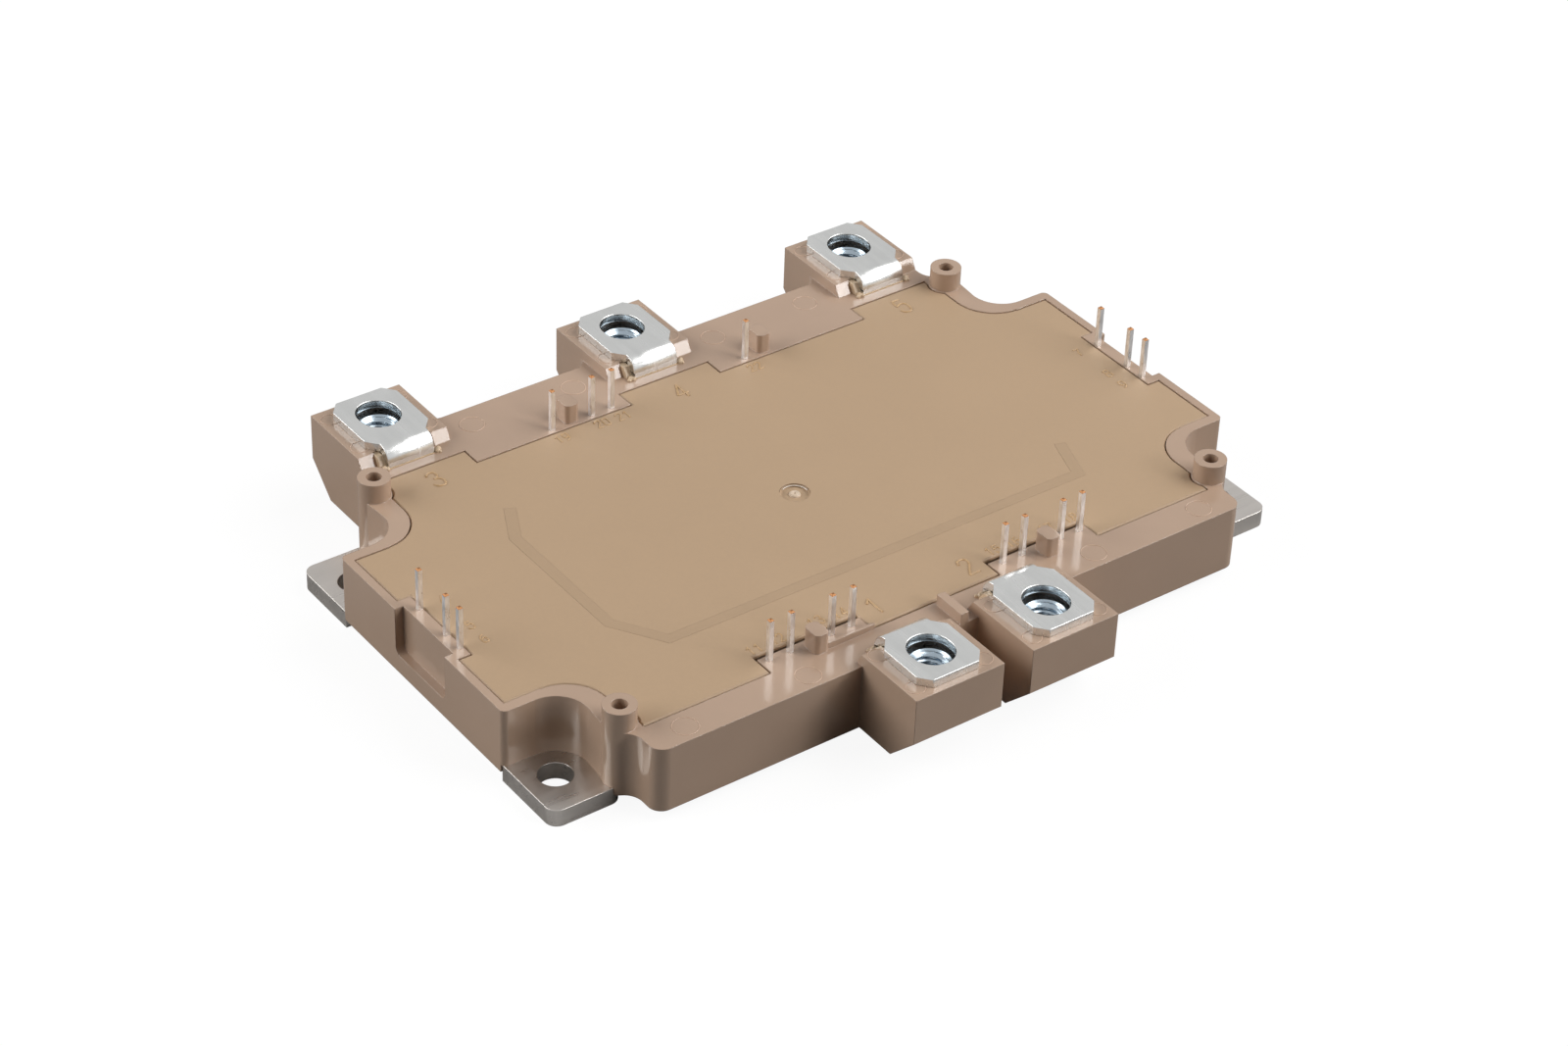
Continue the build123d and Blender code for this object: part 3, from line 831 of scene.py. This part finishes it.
def add_filling(bm, middle, face, side, seed):
    """A bumpy block in the slot beside a strap."""
    others = len(bm.verts)
    made = bmesh.ops.create_cube(bm, size=1.0)
    edges = {edge for vertex in made["verts"] for edge in vertex.link_edges}
    bmesh.ops.subdivide_edges(bm, edges=list(edges), cuts=FILL_CUTS, use_grid_fill=True)
    for vertex in list(bm.verts)[others:]:
        u, v, w = vertex.co
        spot = Vector((u * FILL_WAVES[0] + seed, v * FILL_WAVES[1], w * FILL_WAVES[2]))
        bump = FILL_BUMP * noise_field.noise(spot)
        out = FILL_START + (v + 0.5) * FILL_SIZE[1] + (w + 0.5) * FILL_LEAN + bump
        x = middle - (FLASH_SIDE + u * FILL_SIZE[0] + bump) * MM
        z = RIM_TOP + ((w + FILL_LIFT) * FILL_SIZE[2] + bump) * MM
        vertex.co = (x, (face + side * out) * MM, z)


for number, strap_face in STRAP_FACES.items():
    bm = bmesh.new()
    place = (terminal_middle(number), strap_face, math.copysign(1, strap_face))
    add_lumps(bm, *place, number * SEED_STEP)
    add_filling(bm, *place, number * SEED_STEP)
    for facet in bm.faces:
        facet.smooth = True
    flash = mesh_of(f"flash_{number}", bm)
    add_piece(f"flash_{number}", flash, flash_look)


# Thin line of flash along the foot of each strap

STRAP_HALF = 4.3
FOOT_BEAD = 0.1 * MM
FOOT_HEIGHT = RIM_TOP + 0.02 * MM
FOOT_INSET = 0.06
FOOT_STEPS = 12
FOOT_WAVE = 0.07

foot = start_beads("flash_lines", FOOT_BEAD)
for number, strap_face in STRAP_FACES.items():
    middle = terminal_middle(number) / MM
    straight = strap_face - math.copysign(FOOT_INSET, strap_face)
    points = []
    for i in range(FOOT_STEPS + 1):
        x = middle + STRAP_HALF * (2 * i / FOOT_STEPS - 1)
        wave = noise_field.noise(Vector((x, straight, 0.0)))
        points.append((x, straight + FOOT_WAVE * wave))
    add_bead(foot, points, FOOT_HEIGHT)
add_piece("flash_lines", foot, numeral_look)


# Camera of the photograph

CAMERA_PLACE = Vector((-304.641, -397.340, 364.966)) * MM
CAMERA_AZIMUTH = math.radians(-37.29736)
CAMERA_ELEVATION = math.radians(35.64707)
CAMERA_ROLL = math.radians(2.25480)
CAMERA_LENS = 88.7785

back = Vector(
    (
        math.sin(CAMERA_AZIMUTH) * math.cos(CAMERA_ELEVATION),
        -math.cos(CAMERA_AZIMUTH) * math.cos(CAMERA_ELEVATION),
        math.sin(CAMERA_ELEVATION),
    )
)
level = Vector((math.cos(CAMERA_AZIMUTH), math.sin(CAMERA_AZIMUTH), 0.0))
rise = back.cross(level)
right = math.cos(CAMERA_ROLL) * level + math.sin(CAMERA_ROLL) * rise
up = -math.sin(CAMERA_ROLL) * level + math.cos(CAMERA_ROLL) * rise
turn = Matrix((right, up, back)).transposed().to_4x4()
camera = bpy.data.objects.new("camera", bpy.data.cameras.new("camera"))
camera.data.sensor_width = 36.0
camera.data.lens = CAMERA_LENS
camera.data.clip_start = 0.01
camera.data.clip_end = 20.0
camera.matrix_world = Matrix.Translation(CAMERA_PLACE) @ turn
scene.collection.objects.link(camera)
scene.camera = camera


# Floor and backdrop

FLOOR_HALF = 4.0
FLOOR_DROP = 0.02 * MM
FLOOR_GLOW = 0.92
FLOOR_SHADOW = (0.1, 0.1, 0.1, 1.0)
FLOOR_MIRRORED = (0.42, 0.42, 0.42, 1.0)
FLOOR_DULL = (0.05, 0.05, 0.05, 1.0)
SKY_MIRRORED = (0.7, 0.7, 0.7, 1.0)
SKY_FILL = (0.05, 0.05, 0.05, 1.0)
WHITE = (1.0, 1.0, 1.0, 1.0)


def light_path(tree):
    """Whether a point is seen directly or through glass, and whether it is seen in gloss."""
    path = add_node(tree, "ShaderNodeLightPath").outputs
    direct = math_node(tree, "MAXIMUM", path["Is Camera Ray"], path["Is Transmission Ray"])
    return direct, path["Is Glossy Ray"]


def diffuse(tree, colour):
    """A dull surface in one colour."""
    return add_node(tree, "ShaderNodeBsdfDiffuse", {"Color": colour}).outputs["BSDF"]


def floor_look():
    """White with a faint shadow where it is seen, pale in gloss, and dull as a source of light."""
    material = bpy.data.materials.new("floor_white")
    material.use_nodes = True
    tree = material.node_tree
    direct, glossy = light_path(tree)
    glow = add_node(tree, "ShaderNodeEmission", {"Color": WHITE, "Strength": FLOOR_GLOW})
    shadow = diffuse(tree, FLOOR_SHADOW)
    seen = add_node(tree, "ShaderNodeAddShader", {0: glow.outputs["Emission"], 1: shadow})
    dull = diffuse(tree, FLOOR_DULL)
    mirrored = diffuse(tree, FLOOR_MIRRORED)
    unseen = add_node(tree, "ShaderNodeMixShader", {0: glossy, 1: dull, 2: mirrored})
    choice = {0: direct, 1: unseen.outputs["Shader"], 2: seen.outputs["Shader"]}
    joined = add_node(tree, "ShaderNodeMixShader", choice)
    set_inputs(tree, tree.nodes["Material Output"], {"Surface": joined.outputs["Shader"]})
    return material


floor_corners = ((-1, -1), (1, -1), (1, 1), (-1, 1))
floor_mesh = bpy.data.meshes.new("floor")
floor_mesh.from_pydata(
    [(x * FLOOR_HALF, y * FLOOR_HALF, -FLOOR_DROP) for x, y in floor_corners],
    [],
    [(0, 1, 2, 3)],
)
floor_mesh.materials.append(floor_look())
floor = bpy.data.objects.new("floor", floor_mesh)
scene.collection.objects.link(floor)

world = bpy.data.worlds.new("studio")
world.use_nodes = True
tree = world.node_tree
direct, glossy = light_path(tree)
sky = mix_colour(tree, glossy, SKY_FILL, SKY_MIRRORED)
backdrop = mix_colour(tree, direct, sky, WHITE)
set_inputs(tree, tree.nodes["Background"], {"Color": backdrop})
scene.world = world


# Lamps

LAMP_DISTANCE = 1.5
# Name, azimuth from +X to +Y and elevation in degrees, width and height in metres, and watts
LAMPS = (
    ("back_left", 148, 27, 1.7, 0.9, 20.5),
    ("front_right", -28, 43, 1.5, 1.3, 23.5),
    ("streak", -58.5, 22.3, 0.45, 0.26, 4.4),
)


def softbox(name, azimuth, elevation, width, height, power):
    """A rectangular studio lamp that faces the object."""
    lamp = bpy.data.lights.new(name, "AREA")
    lamp.shape = "RECTANGLE"
    lamp.size = width
    lamp.size_y = height
    lamp.energy = power
    light = bpy.data.objects.new(name, lamp)
    turn, lift = math.radians(azimuth), math.radians(elevation)
    flat = math.cos(lift)
    towards = Vector((flat * math.cos(turn), flat * math.sin(turn), math.sin(lift)))
    light.location = towards * LAMP_DISTANCE
    light.rotation_euler = towards.to_track_quat("Z", "Y").to_euler()
    scene.collection.objects.link(light)


for lamp in LAMPS:
    softbox(*lamp)

scene.view_settings.view_transform = "Standard"
